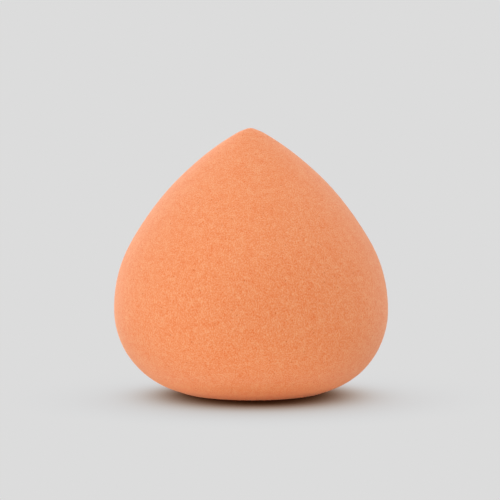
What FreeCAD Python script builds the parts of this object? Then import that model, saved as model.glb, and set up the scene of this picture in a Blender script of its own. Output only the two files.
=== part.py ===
import FreeCAD, Part
import math
import os
import Sketcher

# A drop-shaped makeup sponge, in millimetres: +Z up, origin at the middle of the foot that it rests on.
#
# It is built in three layers, as a flocked foam sponge is: a moulded foam core, a thin film of adhesive
# spread all over the core, and a velvet skin of short microfibres that stand in that film.
# Every layer is a body of revolution about Z. All of them follow one profile of five tangent arcs, heel,
# belly, flank, shoulder and tip, and each layer's outline is that profile moved inwards by the layers
# above it, so they always fit one another.

# Driving sizes: alias, value and what it measures. Lengths are in millimetres, angles in degrees.
# An end angle is how far the surface leans in from upright where that arc runs into the next one.
DRIVING_SIZES = (
    ("height", 48.4, "foot to tip"),
    ("belly_diameter", 50.0, "widest place"),
    ("heel_radius", 15.3, "round from the flat foot up to the widest place"),
    ("shoulder_radius", 7.2, "arc below the tip"),
    ("tip_radius", 1.8, "rounding of the tip"),
    ("belly_end_angle", 29.7, "lean of the surface where the belly ends"),
    ("flank_end_angle", 58.8, "lean of the surface where the long flank ends"),
    ("shoulder_end_angle", 78.0, "lean of the surface where the tip's rounding starts"),
    ("pile_thickness", 0.6, "height of the velvet"),
    ("film_thickness", 0.1, "adhesive under the velvet"),
)

# How deep each layer's faces lie below the outer surface, as expressions on the sheet.
OUTSIDE = "0"
UNDER_PILE = "sizes.pile_thickness"
UNDER_FILM = "(sizes.pile_thickness + sizes.film_thickness)"

# The upright axis of a sketch and the points of an arc or a line, as a sketch numbers them.
UPRIGHT_AXIS_INDEX = -2
START_INDEX, END_INDEX, CENTRE_INDEX = 1, 2, 3
SKETCH_NORMAL = FreeCAD.Vector(0, 0, 1)

QUARTER_TURN_DEGREES = 90
FULL_TURN_DEGREES = 360


def add_sheet(doc):
    """The spreadsheet that holds the driving sizes, one per row."""
    sheet = doc.addObject("Spreadsheet::Sheet", "sizes")
    for row, (alias, value, meaning) in enumerate(DRIVING_SIZES, start=1):
        sheet.set(f"A{row}", alias)
        sheet.set(f"B{row}", str(value))
        sheet.set(f"C{row}", meaning)
        sheet.setAlias(f"B{row}", alias)
    doc.recompute()
    return sheet


def drop_arcs(sheet):
    """The outer profile from foot to tip: each arc's centre, radius, start angle and end angle.

    Heel, shoulder and tip have radii of their own. The belly and the flank then have just the two radii
    that carry the surface from the widest place to the shoulder.
    """
    level = math.radians(-QUARTER_TURN_DEGREES)
    upright = 0.0
    belly_end = math.radians(sheet.belly_end_angle)
    flank_end = math.radians(sheet.flank_end_angle)
    shoulder_end = math.radians(sheet.shoulder_end_angle)
    summit = math.radians(QUARTER_TURN_DEGREES)

    def reach(begin, end):
        """How far inwards and upwards an arc of unit radius goes."""
        return math.cos(begin) - math.cos(end), math.sin(end) - math.sin(begin)

    belly_in, belly_up = reach(upright, belly_end)
    flank_in, flank_up = reach(belly_end, flank_end)
    shoulder_in, shoulder_up = reach(flank_end, shoulder_end)
    tip_in, tip_up = reach(shoulder_end, summit)
    inwards = sheet.belly_diameter / 2 - sheet.shoulder_radius * shoulder_in - sheet.tip_radius * tip_in
    rise = sheet.height - sheet.heel_radius
    upwards = rise - sheet.shoulder_radius * shoulder_up - sheet.tip_radius * tip_up
    spread = flank_in * belly_up - belly_in * flank_up
    belly_radius = (flank_in * upwards - flank_up * inwards) / spread
    flank_radius = (belly_up * inwards - belly_in * upwards) / spread

    centre = FreeCAD.Vector(sheet.belly_diameter / 2 - sheet.heel_radius, sheet.heel_radius)
    radius = sheet.heel_radius
    arcs = [(centre, radius, level, upright)]
    for next_radius, begin, end in (
        (belly_radius, upright, belly_end),
        (flank_radius, belly_end, flank_end),
        (sheet.shoulder_radius, flank_end, shoulder_end),
        (sheet.tip_radius, shoulder_end, summit),
    ):
        normal = FreeCAD.Vector(math.cos(begin), math.sin(begin))
        centre = centre + normal * (radius - next_radius)
        radius = next_radius
        arcs.append((centre, radius, begin, end))
    return arcs


def add_profile(body, sheet, name, depth):
    """A closed half-outline of the drop on the body's XZ plane, moved inwards by the depth expression."""
    plane = next(item for item in body.Origin.OriginFeatures if item.Role == "XZ_Plane")
    sketch = body.newObject("Sketcher::SketchObject", name)
    sketch.AttachmentSupport = [(plane, "")]
    sketch.MapMode = "FlatFace"

    inset = float(sketch.evalExpression(depth))
    arcs = []
    for centre, radius, begin, end in drop_arcs(sheet):
        circle = Part.Circle(centre, SKETCH_NORMAL, radius - inset)
        arcs.append(sketch.addGeometry(Part.ArcOfCircle(circle, begin, end), False))
    heel, belly, flank, shoulder, tip = arcs
    foot_middle = FreeCAD.Vector(0, inset)
    foot_edge = sketch.getPoint(heel, START_INDEX)
    summit = sketch.getPoint(tip, END_INDEX)
    foot = sketch.addGeometry(Part.LineSegment(foot_middle, foot_edge), False)
    axis = sketch.addGeometry(Part.LineSegment(summit, foot_middle), False)

    def relate(*constraint):
        return sketch.addConstraint(Sketcher.Constraint(*constraint))

    def size(label, expression, *constraint):
        index = relate(*constraint, float(sketch.evalExpression(expression)))
        sketch.renameConstraint(index, label)
        sketch.setExpression(f"Constraints.{label}", expression)

    def turn(label, expression, arc):
        index = relate("Angle", arc, math.radians(float(sketch.evalExpression(expression))))
        sketch.renameConstraint(index, label)
        sketch.setExpression(f"Constraints.{label}", expression)

    relate("Horizontal", foot)
    relate("PointOnObject", foot, START_INDEX, UPRIGHT_AXIS_INDEX)
    relate("Tangent", foot, END_INDEX, heel, START_INDEX)
    for lower, upper in zip(arcs, arcs[1:]):
        relate("Tangent", lower, END_INDEX, upper, START_INDEX)
    relate("PointOnObject", tip, CENTRE_INDEX, UPRIGHT_AXIS_INDEX)
    relate("PointOnObject", tip, END_INDEX, UPRIGHT_AXIS_INDEX)
    relate("Coincident", axis, START_INDEX, tip, END_INDEX)
    relate("Coincident", axis, END_INDEX, foot, START_INDEX)
    relate("Horizontal", heel, CENTRE_INDEX, belly, CENTRE_INDEX)

    size("foot_half", "sizes.belly_diameter / 2 - sizes.heel_radius", "DistanceX", heel, CENTRE_INDEX)
    size("belly_height", "sizes.heel_radius", "DistanceY", heel, CENTRE_INDEX)
    size("heel_round", f"sizes.heel_radius - {depth}", "Radius", heel)
    turn("belly_turn", "sizes.belly_end_angle", belly)
    turn("flank_turn", "sizes.flank_end_angle - sizes.belly_end_angle", flank)
    turn("shoulder_turn", "sizes.shoulder_end_angle - sizes.flank_end_angle", shoulder)
    size("shoulder_round", f"sizes.shoulder_radius - {depth}", "Radius", shoulder)
    size("tip_round", f"sizes.tip_radius - {depth}", "Radius", tip)
    size("tip_height", "sizes.height - sizes.tip_radius", "DistanceY", tip, CENTRE_INDEX)
    return sketch


def add_layer(doc, sheet, label, outer_depth, inner_depth=None):
    """One layer of the sponge: a turned solid, hollowed by the outline of the layer that it covers."""
    body = doc.addObject("PartDesign::Body", label)
    outline = add_profile(body, sheet, f"{label}_outline", outer_depth)
    turned = body.newObject("PartDesign::Revolution", f"{label}_turned")
    turned.Profile = outline
    turned.ReferenceAxis = (outline, ["V_Axis"])
    turned.Angle = FULL_TURN_DEGREES
    doc.recompute()
    if inner_depth:
        filled = body.Shape.Volume
        hollow = add_profile(body, sheet, f"{label}_hollow", inner_depth)
        hollowed = body.newObject("PartDesign::Groove", f"{label}_hollowed")
        hollowed.Profile = hollow
        hollowed.ReferenceAxis = (hollow, ["V_Axis"])
        hollowed.Angle = FULL_TURN_DEGREES
        doc.recompute()
        if not body.Shape.Volume < filled:
            raise RuntimeError(f"{label}: the hollow cut nothing")
    return body


def check(doc, bodies):
    """Stops the build if any object failed or a layer isn't one sound solid."""
    for item in doc.Objects:
        if {"Invalid", "Error"} & set(item.State):
            raise RuntimeError(f"{item.Label} failed: {item.State}")
    for body in bodies:
        shape = body.Shape
        if shape.isNull() or not shape.isValid() or len(shape.Solids) != 1:
            raise RuntimeError(f"{body.Label} isn't one valid solid")


def main():
    doc = FreeCAD.newDocument("makeup_sponge")
    sheet = add_sheet(doc)
    bodies = [
        add_layer(doc, sheet, "foam_core", UNDER_FILM),
        add_layer(doc, sheet, "adhesive_film", UNDER_PILE, UNDER_FILM),
        add_layer(doc, sheet, "velvet_skin", OUTSIDE, UNDER_PILE),
    ]
    doc.recompute()
    check(doc, bodies)
    os.makedirs("parts", exist_ok=True)
    for body in bodies:
        body.Shape.exportStep(f"parts/{body.Label}.step")
        print(f"{body.Label}: {body.Shape.Volume:.1f} mm3, {body.Shape.BoundBox}")


main()
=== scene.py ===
import math

import bpy
import numpy as np
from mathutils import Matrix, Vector, noise


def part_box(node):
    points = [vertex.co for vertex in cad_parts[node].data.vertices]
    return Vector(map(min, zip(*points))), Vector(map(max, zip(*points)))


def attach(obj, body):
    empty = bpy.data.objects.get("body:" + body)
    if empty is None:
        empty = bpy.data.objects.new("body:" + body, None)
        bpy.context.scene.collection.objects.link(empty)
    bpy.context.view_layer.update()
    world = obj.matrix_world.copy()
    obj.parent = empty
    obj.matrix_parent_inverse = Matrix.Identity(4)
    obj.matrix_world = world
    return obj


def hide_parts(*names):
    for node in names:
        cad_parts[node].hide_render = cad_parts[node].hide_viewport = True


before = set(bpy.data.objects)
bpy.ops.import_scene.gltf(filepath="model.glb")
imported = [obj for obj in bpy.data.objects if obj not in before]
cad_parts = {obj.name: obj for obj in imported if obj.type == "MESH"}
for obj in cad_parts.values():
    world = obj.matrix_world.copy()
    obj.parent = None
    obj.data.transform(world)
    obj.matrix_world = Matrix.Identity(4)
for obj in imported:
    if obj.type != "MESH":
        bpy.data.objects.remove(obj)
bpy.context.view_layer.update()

# The looks of a drop-shaped makeup sponge: velvet flock outside, the adhesive film and the foam core inside.
# Everything is in metres, in the part's own frame: +Z up, origin at the middle of the foot.

MM = 0.001

# The layers' sizes, read from the frame.
SKIN_LOW, SKIN_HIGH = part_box("velvet_skin")
HEIGHT = SKIN_HIGH.z - SKIN_LOW.z
BELLY_HALF = SKIN_HIGH.x
FILM_DEPTH = BELLY_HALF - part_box("adhesive_film")[1].x
FOAM_DEPTH = BELLY_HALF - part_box("foam_core")[1].x

# The profile's arcs, as the solids have them. An end angle is the surface's lean from upright there.
HEEL_RADIUS = 15.3 * MM
SHOULDER_RADIUS = 7.2 * MM
TIP_RADIUS = 1.8 * MM
BELLY_END = math.radians(29.7)
FLANK_END = math.radians(58.8)
SHOULDER_END = math.radians(78.0)
QUARTER = math.pi / 2

# How many points the profile is sampled at, and the fewest on the foot's flat or on any one arc.
PROFILE_POINTS = 6000
FEWEST_POINTS = 8

# The sponge is a touch out of true: its axis leans to the left by this much for each unit of height,
# and its heel sits this far to the right, which wears off over about this height.
LEAN_X = -0.0038
HEEL_SHIFT = 0.22 * MM
HEEL_SHIFT_HEIGHT = 5 * MM

# Quads along each edge of the cube that a layer's ball is made from. The velvet's outside is the finest.
SKIN_QUADS = 120
INNER_QUADS = 40
FOAM_QUADS = 90

# A layer's texture map holds the cube's six faces as squares, three by two, with a margin round each.
MAP_NAME = "OFBake"
MAP_COLUMNS = 3
MAP_ROWS = 2
MAP_MARGIN = 0.01

# Points of neighbouring cube faces that agree to this many decimals are one point.
SAME_POINT_DECIMALS = 6


def profile_arcs():
    """The outer profile from foot to tip: each arc's centre, radius, start angle and end angle."""

    def reach(begin, end):
        return math.cos(begin) - math.cos(end), math.sin(end) - math.sin(begin)

    belly_in, belly_up = reach(0, BELLY_END)
    flank_in, flank_up = reach(BELLY_END, FLANK_END)
    shoulder_in, shoulder_up = reach(FLANK_END, SHOULDER_END)
    tip_in, tip_up = reach(SHOULDER_END, QUARTER)
    inwards = BELLY_HALF - SHOULDER_RADIUS * shoulder_in - TIP_RADIUS * tip_in
    upwards = HEIGHT - HEEL_RADIUS - SHOULDER_RADIUS * shoulder_up - TIP_RADIUS * tip_up
    spread = flank_in * belly_up - belly_in * flank_up
    belly_radius = (flank_in * upwards - flank_up * inwards) / spread
    flank_radius = (belly_up * inwards - belly_in * upwards) / spread
    centre = np.array([BELLY_HALF - HEEL_RADIUS, HEEL_RADIUS])
    radius = HEEL_RADIUS
    arcs = [(centre, radius, -QUARTER, 0.0)]
    for next_radius, begin, end in (
        (belly_radius, 0.0, BELLY_END),
        (flank_radius, BELLY_END, FLANK_END),
        (SHOULDER_RADIUS, FLANK_END, SHOULDER_END),
        (TIP_RADIUS, SHOULDER_END, QUARTER),
    ):
        normal = np.array([math.cos(begin), math.sin(begin)])
        centre = centre + normal * (radius - next_radius)
        radius = next_radius
        arcs.append((centre, radius, begin, end))
    return arcs


def sampled_profile():
    """Points (radius, height) and normals all along the profile, from the middle of the foot to the tip."""
    arcs = profile_arcs()
    foot_edge = arcs[0][0][0]
    lengths = [foot_edge] + [radius * (end - begin) for _, radius, begin, end in arcs]
    counts = [max(FEWEST_POINTS, round(PROFILE_POINTS * length / sum(lengths))) for length in lengths]
    share = np.arange(counts[0]) / counts[0]
    points = [np.column_stack((share * foot_edge, np.zeros(counts[0])))]
    normals = [np.tile((0.0, -1.0), (counts[0], 1))]
    for (centre, radius, begin, end), count in zip(arcs, counts[1:]):
        angles = np.linspace(begin, end, count, endpoint=end == QUARTER)
        normal = np.column_stack((np.cos(angles), np.sin(angles)))
        points.append(centre + radius * normal)
        normals.append(normal)
    return np.concatenate(points), np.concatenate(normals)


PROFILE, PROFILE_NORMALS = sampled_profile()


def ball(quads):
    """A cube's six faces, each a grid of quads, blown up to a ball: directions, faces and map corners."""
    steps = np.tan(np.linspace(-1, 1, quads + 1) * math.pi / 4)
    across, up = np.meshgrid(steps, steps, indexing="ij")
    shares = np.linspace(0, 1, quads + 1)
    grid_u, grid_v = np.meshgrid(shares, shares, indexing="ij")
    corner = np.arange((quads + 1) ** 2).reshape(quads + 1, quads + 1)
    round_quad = (corner[:-1, :-1], corner[1:, :-1], corner[1:, 1:], corner[:-1, 1:])
    loops = np.stack(round_quad, axis=-1).reshape(-1, 4)
    axes = np.eye(3)
    directions, faces, places = [], [], []
    for number in range(6):
        axis = number % 3
        sign = 1 if number < 3 else -1
        out, side, top = axes[axis] * sign, axes[(axis + 1) % 3], axes[(axis + 2) % 3]
        if sign < 0:
            side, top = top, side
        points = out + across[..., None] * side + up[..., None] * top
        directions.append(points.reshape(-1, 3))
        faces.append(loops + number * corner.size)
        column = number % MAP_COLUMNS
        row = number // MAP_COLUMNS
        place_u = (column + MAP_MARGIN + grid_u * (1 - 2 * MAP_MARGIN)) / MAP_COLUMNS
        place_v = (row + MAP_MARGIN + grid_v * (1 - 2 * MAP_MARGIN)) / MAP_ROWS
        places.append(np.stack((place_u, place_v), axis=-1).reshape(-1, 2))
    directions = np.concatenate(directions)
    directions /= np.linalg.norm(directions, axis=1, keepdims=True)
    faces, places = np.concatenate(faces), np.concatenate(places)
    rounded = np.round(directions, SAME_POINT_DECIMALS)
    _, first, which = np.unique(rounded, axis=0, return_index=True, return_inverse=True)
    return directions[first], which.reshape(-1)[faces], places[faces.reshape(-1)]


def on_drop(directions, depth):
    """Each direction's place on the drop, at that depth under its outer surface, and the normal there.

    Equal areas of the ball become equal areas of the drop, so the quads stay alike from foot to tip.
    """
    steps = np.linalg.norm(np.diff(PROFILE, axis=0), axis=1)
    rings = (PROFILE[1:, 0] + PROFILE[:-1, 0]) * steps
    area = np.concatenate(([0], np.cumsum(rings)))
    wanted = (1 + directions[:, 2]) / 2 * area[-1]
    radius, height = (np.interp(wanted, area, PROFILE[:, i]) for i in (0, 1))
    out, up = (np.interp(wanted, area, PROFILE_NORMALS[:, i]) for i in (0, 1))
    turn = np.arctan2(directions[:, 1], directions[:, 0])
    radius = radius - depth * out
    height = height - depth * up
    places = np.column_stack((radius * np.cos(turn), radius * np.sin(turn), height))
    normals = np.column_stack((out * np.cos(turn), out * np.sin(turn), up))
    return places, normals / np.linalg.norm(normals, axis=1, keepdims=True)


def leaned(places):
    """The places with the sponge's slight lean: its level slices slide sideways."""
    moved = places.copy()
    moved[:, 0] += LEAN_X * places[:, 2] + HEEL_SHIFT * np.exp(-places[:, 2] / HEEL_SHIFT_HEIGHT)
    return moved


def add_piece(name, walls):
    """A mesh object from closed walls: (places, faces, map corners, whether it faces inwards) for each."""
    places, faces, corners, start = [], [], [], 0
    for wall_places, wall_faces, wall_corners, inwards in walls:
        wall_corners = wall_corners.reshape(-1, 4, 2)
        if inwards:
            wall_faces, wall_corners = wall_faces[:, ::-1], wall_corners[:, ::-1]
        places.append(leaned(wall_places))
        faces.append(wall_faces + start)
        corners.append(wall_corners.reshape(-1, 2))
        start += len(wall_places)
    places, faces, corners = np.concatenate(places), np.concatenate(faces), np.concatenate(corners)
    mesh = bpy.data.meshes.new(name)
    mesh.vertices.add(len(places))
    mesh.vertices.foreach_set("co", places.astype(np.float32).ravel())
    mesh.loops.add(faces.size)
    mesh.loops.foreach_set("vertex_index", faces.astype(np.int32).ravel())
    mesh.polygons.add(len(faces))
    mesh.polygons.foreach_set("loop_start", np.arange(0, faces.size, 4, dtype=np.int32))
    mesh.polygons.foreach_set("use_smooth", np.ones(len(faces), bool))
    mesh.update(calc_edges=True)
    mesh.validate()
    layer = mesh.uv_layers.new(name=MAP_NAME)
    layer.data.foreach_set("uv", corners.astype(np.float32).ravel())
    piece = bpy.data.objects.new(name, mesh)
    bpy.context.scene.collection.objects.link(piece)
    return piece


def keep_values(piece, name, values):
    """Keeps one number for each of the piece's points, for its material to read."""
    attribute = piece.data.attributes.new(name, "FLOAT", "POINT")
    attribute.data.foreach_set("value", values.astype(np.float32))


# The velvet's tufts: soft lumps of pile crossed by curled ridges, with their size and their height.
TUFT_SIZE = 0.8 * MM
TUFT_RELIEF = 0.03 * MM
TUFT_OCTAVES = 2
TUFT_SMOOTHNESS = 0.6
TUFT_OCTAVE_RATIO = 2.1
TUFT_SHARE = 0.75
CURL_SHARE = 0.35
CURL_FINENESS = 1.3
CURL_SHARPNESS = 3
CURL_OFFSET = Vector((7, 3, 5))

# The slow unevenness of the moulding under the velvet.
FORM_SIZE = 9 * MM
FORM_RELIEF = 0.05 * MM

# The pile stands this far above the solid, with its relief. Both grow from nothing over the first height
# above the foot, and go back to nothing over the second height below the tip.
NAP_STAND = 0.06 * MM
FOOT_FADE = 4 * MM
TIP_FADE = 10 * MM

# The pile spreads outwards by this much at the foot, less and less up to this height.
SPLAY = 1.2 * MM
SPLAY_HEIGHT = 0.8 * MM

# The tip is pinched in by this much within this reach of the axis, and its very point stands out.
PINCH = 0.055 * MM
PINCH_REACH = 3.2 * MM
POINT = 0.09 * MM
POINT_REACH = 1.0 * MM


def velvet_height(places):
    """The pile's height above its mean at each place, as a share from about -1 to 1."""
    heights = np.empty(len(places))
    for i, place in enumerate(places):
        spot = Vector(place) / TUFT_SIZE
        soft = noise.fractal(spot, TUFT_SMOOTHNESS, TUFT_OCTAVE_RATIO, TUFT_OCTAVES)
        curl = 1 - abs(noise.noise(spot * CURL_FINENESS + CURL_OFFSET)) * CURL_SHARPNESS
        heights[i] = TUFT_SHARE * soft + CURL_SHARE * curl
    return heights - heights.mean()


def form_height(places):
    """The slow unevenness of a moulded foam form, from -1 to 1."""
    return np.array([noise.noise(Vector(place) / FORM_SIZE) for place in places])


def tip_height(places):
    """The tip is pinched in a little all round, and ends in a finer point."""
    from_axis = np.hypot(places[:, 0], places[:, 1])
    pinch = PINCH * np.exp(-((from_axis / PINCH_REACH) ** 2))
    point = POINT * np.exp(-((from_axis / POINT_REACH) ** 2))
    return np.where(places[:, 2] > HEIGHT / 2, point - pinch, 0)


def splayed(places):
    """The places with the pile spread outwards where the sponge stands on it."""
    low = np.clip(1 - places[:, 2] / SPLAY_HEIGHT, 0, 1) ** 2
    from_axis = np.hypot(places[:, 0], places[:, 1])
    foot_edge = BELLY_HALF - HEEL_RADIUS
    spread = SPLAY * low * np.clip(from_axis / foot_edge, 0, 1)
    wider = 1 + spread / np.maximum(from_axis, SPLAY)
    return places * np.column_stack((wider, wider, np.ones(len(places))))


def add_velvet_skin():
    """The velvet: a fine outer wall with the pile's relief, and a plain inner wall on the film."""
    directions, faces, corners = ball(SKIN_QUADS)
    places, normals = on_drop(directions, 0)
    tufts = velvet_height(places)
    lift = NAP_STAND + TUFT_RELIEF * tufts + FORM_RELIEF * form_height(places)
    from_foot = np.clip(places[:, 2] / FOOT_FADE, 0, 1)
    from_tip = np.clip((HEIGHT - places[:, 2]) / TIP_FADE, 0, 1)
    lift *= from_foot * from_tip
    outer = splayed(places + normals * (lift + tip_height(places))[:, None])
    inner_directions, inner_faces, inner_corners = ball(INNER_QUADS)
    inner, _ = on_drop(inner_directions, FILM_DEPTH)
    walls = [(outer, faces, corners, False), (inner, inner_faces, inner_corners, True)]
    skin = add_piece("velvet_nap", walls)
    keep_values(skin, "nap", np.concatenate((tufts, np.zeros(len(inner)))))
    return skin


def add_adhesive_film():
    """The film: a thin even shell between the velvet and the foam."""
    directions, faces, corners = ball(INNER_QUADS)
    outer, _ = on_drop(directions, FILM_DEPTH)
    inner, _ = on_drop(directions, FOAM_DEPTH)
    return add_piece("adhesive_coat", [(outer, faces, corners, False), (inner, faces, corners, True)])


# Foam relief: open cells are small pits, so the foam only ever lies below its plain surface.
CELL_SIZE = 1.1 * MM
CELL_DEPTH = 0.16 * MM
CELL_STEEPNESS = 1.6
FOAM_CLEARANCE = 0.05 * MM


def add_foam_core():
    """The foam: one closed wall with a pit at each open cell."""
    directions, faces, corners = ball(FOAM_QUADS)
    places, normals = on_drop(directions, FOAM_DEPTH + FOAM_CLEARANCE)
    pits = np.empty(len(places))
    for i, place in enumerate(places):
        nearest = noise.voronoi(Vector(place) / CELL_SIZE)[0][0]
        pits[i] = max(0.0, 1 - nearest * CELL_STEEPNESS)
    places = places - normals * (CELL_DEPTH * pits)[:, None]
    foam = add_piece("foam_body", [(places, faces, corners, False)])
    keep_values(foam, "pit", pits)
    return foam


def new_material(name):
    """A material with nodes: itself, its nodes, its links and its shader."""
    material = bpy.data.materials.new(name)
    material.use_nodes = True
    nodes, links = material.node_tree.nodes, material.node_tree.links
    return material, nodes, links, nodes["Principled BSDF"]


def add_spot(nodes):
    """The place on the piece, in metres."""
    return nodes.new("ShaderNodeTexCoord").outputs["Object"]


def add_kept_value(nodes, name):
    """A number that the piece's points keep under that name."""
    node = nodes.new("ShaderNodeAttribute")
    node.attribute_name = name
    return node.outputs["Fac"]


def add_noise(nodes, links, place, size, detail):
    """A noise texture whose features are about that size, in metres."""
    texture = nodes.new("ShaderNodeTexNoise")
    texture.inputs["Scale"].default_value = 1 / size
    texture.inputs["Detail"].default_value = detail
    links.new(place, texture.inputs["Vector"])
    return texture.outputs["Fac"]


def add_cells(nodes, links, place, spacing):
    """The distance from the nearest of scattered points, in units of their spacing."""
    texture = nodes.new("ShaderNodeTexVoronoi")
    texture.inputs["Scale"].default_value = 1 / spacing
    links.new(place, texture.inputs["Vector"])
    return texture.outputs["Distance"]


def add_vector_math(nodes, links, operation, place, value):
    """A vector math node on a place and a fixed vector."""
    node = nodes.new("ShaderNodeVectorMath")
    node.operation = operation
    node.inputs[1].default_value = value
    links.new(place, node.inputs[0])
    return node


def add_height(nodes, links, place):
    """How high up the place is, or how far up a direction points."""
    split = nodes.new("ShaderNodeSeparateXYZ")
    links.new(place, split.inputs[0])
    return split.outputs["Z"]


def add_math(nodes, links, operation, first, second):
    """A math node: each input is a socket or a number."""
    node = nodes.new("ShaderNodeMath")
    node.operation = operation
    for socket, value in zip(node.inputs, (first, second)):
        if isinstance(value, (int, float)):
            socket.default_value = value
        else:
            links.new(value, socket)
    return node.outputs[0]


def add_sum(nodes, links, shares):
    """The sum of values, each times its share."""
    total = 0.0
    for value, share in shares:
        total = add_math(nodes, links, "ADD", total, add_math(nodes, links, "MULTIPLY", value, share))
    return total


def add_range(nodes, links, value, given, wanted, soft=False):
    """The value, moved from the given range to the wanted one and held at its ends, softly if asked."""
    node = nodes.new("ShaderNodeMapRange")
    node.interpolation_type = "SMOOTHSTEP" if soft else "LINEAR"
    node.inputs["From Min"].default_value, node.inputs["From Max"].default_value = given
    node.inputs["To Min"].default_value, node.inputs["To Max"].default_value = wanted
    links.new(value, node.inputs["Value"])
    return node.outputs["Result"]


def add_ramp(nodes, links, value, stops):
    """Colours that follow the value: (value, colour) for each stop."""
    ramp = nodes.new("ShaderNodeValToRGB")
    elements = ramp.color_ramp.elements
    while len(elements) < len(stops):
        elements.new(0.5)
    for element, (position, colour) in zip(elements, stops):
        element.position = position
        element.color = (*colour, 1)
    links.new(value, ramp.inputs["Fac"])
    return ramp.outputs["Color"]


def add_colour_mix(nodes, links, factor, first, second, blend="MIX"):
    """A blend of a colour socket with red, green and blue."""
    node = nodes.new("ShaderNodeMix")
    node.data_type = "RGBA"
    node.blend_type = blend
    factor_socket, first_socket, second_socket = node.inputs[0], node.inputs[6], node.inputs[7]
    links.new(factor, factor_socket)
    links.new(first, first_socket)
    second_socket.default_value = (*second, 1)
    return node.outputs[2]


def add_bump(nodes, links, shader, height, strength, distance):
    """Fine relief on the shader: its height at 1, in metres, and how strongly it shows."""
    bump = nodes.new("ShaderNodeBump")
    bump.inputs["Strength"].default_value = strength
    bump.inputs["Distance"].default_value = distance
    links.new(height, bump.inputs["Height"])
    links.new(bump.outputs["Normal"], shader.inputs["Normal"])


# Velvet colours by the pile's height: deep between the fibres, plain, and pale on the fibres' ends. This is
# partly the pile's own uneven tone, and partly painted shade between the fibres and painted light on their
# ends.
VELVET_STOPS = (
    (0.26, (0.84, 0.203, 0.055)),
    (0.50, (0.88, 0.302, 0.126)),
    (0.74, (0.905, 0.406, 0.211)),
)

# The pile's pattern: size of each feature and its share of the height. Fibres are stretched upwards.
FIBRE_SIZE = 0.19 * MM
FIBRE_STRETCH = 1.5
FIBRE_SHARE = 0.70
CLUMP_SIZE = 1.2 * MM
CLUMP_SHARE = 0.22
MOTTLE_SIZE = 4.0 * MM
MOTTLE_SHARE = 0.08
NAP_SHARE = 0.03

# Painted shade in small pits of the pile, as dark spots: how far apart they are, and the radii at which a
# spot starts to fade and ends.
PIT_SPACING = 1.5 * MM
PIT_RADII = (0.06 * MM, 0.16 * MM)
PIT_SHADE_COLOUR = (0.70, 0.16, 0.04)

# Painted shade towards the foot: up to this height the pile is painted deeper in colour, by these shares at
# the foot and less and less upwards.
FOOT_SHADE_HEIGHT = 4.5 * MM
FOOT_SHADE_SHARES = (0.97, 0.87, 0.38)

VELVET_ROUGHNESS = (0.85, 1.0)
VELVET_BUMP = 0.3
VELVET_BUMP_HEIGHT = 0.03 * MM
VELVET_SPECULAR = 0.1
VELVET_SHEEN = 0.22
VELVET_SHEEN_ROUGHNESS = 0.56
VELVET_SHEEN_TINT = (1.0, 0.95, 0.88, 1)


def velvet_material():
    """Short matt flock: fine fibres in clumps, painted shade in small pits and towards the foot, and a soft
    pale sheen.
    """
    material, nodes, links, shader = new_material("velvet_flock")
    spot = add_spot(nodes)
    brushed = add_vector_math(nodes, links, "MULTIPLY", spot, (1, 1, 1 / FIBRE_STRETCH)).outputs["Vector"]
    fibres = add_noise(nodes, links, brushed, FIBRE_SIZE, 0)
    clumps = add_noise(nodes, links, spot, CLUMP_SIZE, 1)
    mottle = add_noise(nodes, links, spot, MOTTLE_SIZE, 1)
    nap = add_kept_value(nodes, "nap")
    shares = ((fibres, FIBRE_SHARE), (clumps, CLUMP_SHARE), (mottle, MOTTLE_SHARE), (nap, NAP_SHARE))
    height = add_sum(nodes, links, shares)
    # Partly painted shade and light: lower pile is painted deeper in colour, higher pile paler.
    colour = add_ramp(nodes, links, height, VELVET_STOPS)
    # Painted shade: the colour is darkened towards the foot, where the sponge stands.
    foot_shade = add_range(nodes, links, add_height(nodes, links, spot), (0, FOOT_SHADE_HEIGHT), (1, 0))
    colour = add_colour_mix(nodes, links, foot_shade, colour, FOOT_SHADE_SHARES, "MULTIPLY")
    # Painted shade: small dark spots stand for the shade inside pits of the pile.
    from_pit = add_cells(nodes, links, spot, PIT_SPACING)
    fade_start, fade_end = (radius / PIT_SPACING for radius in PIT_RADII)
    pit_shade = add_range(nodes, links, from_pit, (fade_start, fade_end), (1, 0))
    colour = add_colour_mix(nodes, links, pit_shade, colour, PIT_SHADE_COLOUR)
    links.new(colour, shader.inputs["Base Color"])
    links.new(add_range(nodes, links, fibres, (0, 1), VELVET_ROUGHNESS), shader.inputs["Roughness"])
    add_bump(nodes, links, shader, height, VELVET_BUMP, VELVET_BUMP_HEIGHT)
    shader.inputs["Specular IOR Level"].default_value = VELVET_SPECULAR
    shader.inputs["Sheen Weight"].default_value = VELVET_SHEEN
    shader.inputs["Sheen Roughness"].default_value = VELVET_SHEEN_ROUGHNESS
    shader.inputs["Sheen Tint"].default_value = VELVET_SHEEN_TINT
    return material


# The film's streaks: their size, their detail, and the colours and roughness that they run between.
STREAK_SIZE = 2.5 * MM
STREAK_DETAIL = 3
FILM_STOPS = ((0.3, (0.80, 0.46, 0.30)), (0.7, (0.88, 0.58, 0.42)))
FILM_ROUGHNESS = (0.35, 0.6)


def film_material():
    """Cured flocking adhesive: streaky, and duller where it is paler."""
    material, nodes, links, shader = new_material("cured_adhesive")
    streaks = add_noise(nodes, links, add_spot(nodes), STREAK_SIZE, STREAK_DETAIL)
    links.new(add_ramp(nodes, links, streaks, FILM_STOPS), shader.inputs["Base Color"])
    links.new(add_range(nodes, links, streaks, (0, 1), FILM_ROUGHNESS), shader.inputs["Roughness"])
    return material


# The foam's fine grain between its open cells, and its colours from the surface into a pit, where painted
# shade makes the pits darker.
GRAIN_SIZE = 0.5 * MM
GRAIN_SHARE = 0.5
FOAM_STOPS = ((0.1, (0.84, 0.40, 0.23)), (0.9, (0.62, 0.20, 0.09)))
FOAM_BUMP = 0.6
FOAM_BUMP_HEIGHT = 0.1 * MM
FOAM_ROUGHNESS = 0.95
FOAM_SPECULAR = 0.2


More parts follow.
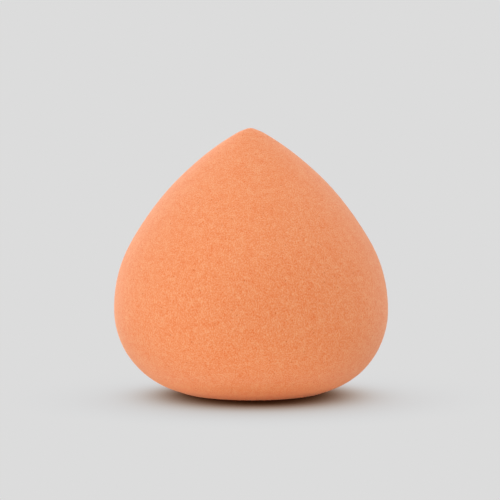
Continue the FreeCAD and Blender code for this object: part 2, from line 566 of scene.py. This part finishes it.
def foam_material():
    """Fine open-cell foam, with painted shade darker inside its pits."""
    material, nodes, links, shader = new_material("open_cell_foam")
    grain = add_cells(nodes, links, add_spot(nodes), GRAIN_SIZE)
    depth = add_sum(nodes, links, ((add_kept_value(nodes, "pit"), 1), (grain, GRAIN_SHARE)))
    # Painted shade darkens the colour deeper into a pit; the grain adds uneven tone.
    links.new(add_ramp(nodes, links, depth, FOAM_STOPS), shader.inputs["Base Color"])
    add_bump(nodes, links, shader, grain, FOAM_BUMP, FOAM_BUMP_HEIGHT)
    shader.inputs["Roughness"].default_value = FOAM_ROUGHNESS
    shader.inputs["Specular IOR Level"].default_value = FOAM_SPECULAR
    return material


def dress(piece, node, material):
    """The piece stands for the CAD node, rides with it and has the material."""
    piece.data.materials.append(material)
    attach(piece, "root")
    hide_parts(node)
    return piece


dress(add_velvet_skin(), "velvet_skin", velvet_material())
dress(add_adhesive_film(), "adhesive_film", film_material())
foam_piece = dress(add_foam_core(), "foam_core", foam_material())

# Stage: a plain pale floor with the sponge's shadow on it, before an even background of the same colour.
BACKGROUND = (0.716, 0.716, 0.716)
FLOOR_HALF = 0.2

# For the rays that light the sponge, the floor is a small pale table. It turns clear between these distances
# from its centre, and the light from below comes in there.
TABLE_COLOUR = (0.92, 0.92, 0.92)
TABLE_CENTRE = (1.2 * MM, 0, 0)
TABLE_FADE = (9.5 * MM, 30 * MM)

# The shadow on the floor: soft light comes from above and behind, and the sponge hides a share of it,
# as far as this reach. More samples make the shadow smoother.
SHADOW_LIGHT = Vector((-0.1, 0.75, 1)).normalized()
SHADOW_REACH = 25 * MM
SHADOW_SAMPLES = 64

# The shadow's tone, for red, green and blue. Up to the first share of open light the floor is black.
# The second share beyond that brings most of the floor's colour back, along a curve of this power.
SHADOW_CORE = (0.080, 0.087, 0.095)
SHADOW_SHARE = (0.308, 0.351, 0.364)
SHADOW_POWER = (1.38, 1.69, 1.87)

# The even light from the pale surroundings below the horizon, warmed by the sponge itself.
TABLE_LIGHT = 0.82
TABLE_TINT = (1.0, 0.91, 0.78)
HORIZON_SOFTNESS = 0.02


def add_bell(nodes, links, value, start, width, power):
    """1 up to the start, and falling off beyond it as a bell does."""
    beyond = add_math(nodes, links, "MAXIMUM", add_math(nodes, links, "SUBTRACT", value, start), 0.0)
    share = add_math(nodes, links, "DIVIDE", beyond, width)
    return add_math(nodes, links, "POWER", 1 / math.e, add_math(nodes, links, "POWER", share, power))


def add_shader_mix(nodes, links, factor, first, second):
    """The first shader where the factor is 0, the second where it is 1."""
    mix = nodes.new("ShaderNodeMixShader")
    links.new(factor, mix.inputs["Fac"])
    links.new(first, mix.inputs[1])
    links.new(second, mix.inputs[2])
    return mix.outputs["Shader"]


def add_seen_ray(nodes, links):
    """1 for the rays that show a surface (to the camera, a mirror or glass), 0 for those that light it."""
    path = nodes.new("ShaderNodeLightPath")
    seen = add_math(nodes, links, "MAXIMUM", path.outputs["Is Camera Ray"], path.outputs["Is Glossy Ray"])
    return add_math(nodes, links, "MAXIMUM", seen, path.outputs["Is Transmission Ray"])


def add_shadow(nodes, links):
    """The floor's colour, darker where the sponge hides more of the light."""
    hidden = nodes.new("ShaderNodeAmbientOcclusion")
    hidden.samples = SHADOW_SAMPLES
    hidden.inputs["Distance"].default_value = SHADOW_REACH
    towards = nodes.new("ShaderNodeCombineXYZ")
    for socket, value in zip(towards.inputs, SHADOW_LIGHT):
        socket.default_value = value
    links.new(towards.outputs["Vector"], hidden.inputs["Normal"])
    colour = nodes.new("ShaderNodeCombineColor")
    tones = zip(colour.inputs, BACKGROUND, SHADOW_CORE, SHADOW_SHARE, SHADOW_POWER)
    for socket, level, core, share, power in tones:
        dark = add_bell(nodes, links, hidden.outputs["AO"], core, share, power)
        least_dark = math.exp(-(((1 - core) / share) ** power))
        lit = add_math(nodes, links, "SUBTRACT", 1.0, dark)
        links.new(add_math(nodes, links, "MULTIPLY", lit, level / (1 - least_dark)), socket)
    return colour.outputs["Color"]


def add_floor():
    """The floor: a plain colour with the shadow where it is seen, and a small pale table for the light."""
    mesh = bpy.data.meshes.new("floor")
    corners = [(x * FLOOR_HALF, y * FLOOR_HALF, 0) for x, y in ((-1, -1), (1, -1), (1, 1), (-1, 1))]
    mesh.from_pydata(corners, [], [(0, 1, 2, 3)])
    floor = bpy.data.objects.new("floor", mesh)
    bpy.context.scene.collection.objects.link(floor)
    material, nodes, links, shader = new_material("pale_floor")
    material.cycles.emission_sampling = "NONE"
    shader.inputs["Roughness"].default_value = 1.0
    shader.inputs["Specular IOR Level"].default_value = 0.0
    shader.inputs["Base Color"].default_value = (*TABLE_COLOUR, 1)
    place = nodes.new("ShaderNodeNewGeometry").outputs["Position"]
    distance = add_vector_math(nodes, links, "DISTANCE", place, TABLE_CENTRE).outputs["Value"]
    past_table = add_range(nodes, links, distance, TABLE_FADE, (0, 1), soft=True)
    clear = nodes.new("ShaderNodeBsdfTransparent")
    lit = add_shader_mix(nodes, links, past_table, shader.outputs["BSDF"], clear.outputs["BSDF"])
    shown = nodes.new("ShaderNodeEmission")
    links.new(add_shadow(nodes, links), shown.inputs["Color"])
    surface = add_shader_mix(nodes, links, add_seen_ray(nodes, links), lit, shown.outputs["Emission"])
    links.new(surface, nodes["Material Output"].inputs["Surface"])
    mesh.materials.append(material)


def set_world():
    """Even light from below the horizon only, and a plain pale background where the world is seen."""
    world = bpy.data.worlds.new("studio")
    bpy.context.scene.world = world
    world.use_nodes = True
    nodes, links = world.node_tree.nodes, world.node_tree.links
    light = nodes["Background"]
    light.inputs["Color"].default_value = (*TABLE_TINT, 1)
    upwards = add_height(nodes, links, nodes.new("ShaderNodeTexCoord").outputs["Generated"])
    from_below = add_range(nodes, links, upwards, (-HORIZON_SOFTNESS, 0), (TABLE_LIGHT, 0))
    links.new(from_below, light.inputs["Strength"])
    shown = nodes.new("ShaderNodeBackground")
    shown.inputs["Color"].default_value = (*BACKGROUND, 1)
    seen = add_seen_ray(nodes, links)
    surface = add_shader_mix(nodes, links, seen, light.outputs["Background"], shown.outputs["Background"])
    links.new(surface, nodes["World Output"].inputs["Surface"])


# White softboxes round the sponge: name, turn from the front towards the right, height above level (both in
# degrees) and power in watts.
SOFTBOXES = (
    ("front_box", 357, 14, 1.86),
    ("left_low_box", 275, 0, 0.90),
    ("left_front_box", 300, 40, 0.20),
    ("left_high_box", 270, 60, 1.40),
    ("right_high_box", 90, 60, 1.42),
    ("right_low_box", 125, 0, 0.30),
    ("back_left_box", 210, 20, 1.60),
    ("back_right_box", 135, 30, 0.99),
)
SOFTBOX_DISTANCE = 0.6
SOFTBOX_WIDTH = 0.4
SOFTBOX_AIM = Vector((0, 0, 0.02))


def add_softbox(name, turn, height, power):
    """A square area lamp that faces the sponge."""
    light = bpy.data.lights.new(name, "AREA")
    light.shape = "SQUARE"
    light.size = SOFTBOX_WIDTH
    light.energy = power
    turn, height = math.radians(turn), math.radians(height)
    level = math.cos(height)
    outwards = Vector((math.sin(turn) * level, -math.cos(turn) * level, math.sin(height)))
    lamp = bpy.data.objects.new(name, light)
    lamp.location = SOFTBOX_AIM + outwards * SOFTBOX_DISTANCE
    lamp.rotation_mode = "QUATERNION"
    lamp.rotation_quaternion = outwards.to_track_quat("Z", "Y")
    lamp.visible_camera = False
    bpy.context.scene.collection.objects.link(lamp)


# Camera: a long lens, a little above the sponge and looking slightly down.
LENS = 177.1
CAMERA_PLACE = Vector((-0.25 * MM, -448.5 * MM, 59.3 * MM))
CAMERA_LOOK = Vector((0, 0.99728, -0.07376))
NEAREST_SEEN = 10 * MM


def add_camera():
    """The camera at the photograph's viewing angle."""
    camera = bpy.data.cameras.new("camera")
    camera.lens = LENS
    camera.clip_start = NEAREST_SEEN
    holder = bpy.data.objects.new("camera", camera)
    holder.location = CAMERA_PLACE
    holder.rotation_mode = "QUATERNION"
    holder.rotation_quaternion = CAMERA_LOOK.to_track_quat("-Z", "Y")
    bpy.context.scene.collection.objects.link(holder)
    bpy.context.scene.camera = holder


add_floor()
set_world()
for softbox in SOFTBOXES:
    add_softbox(*softbox)
add_camera()
bpy.context.scene.view_settings.view_transform = "Standard"
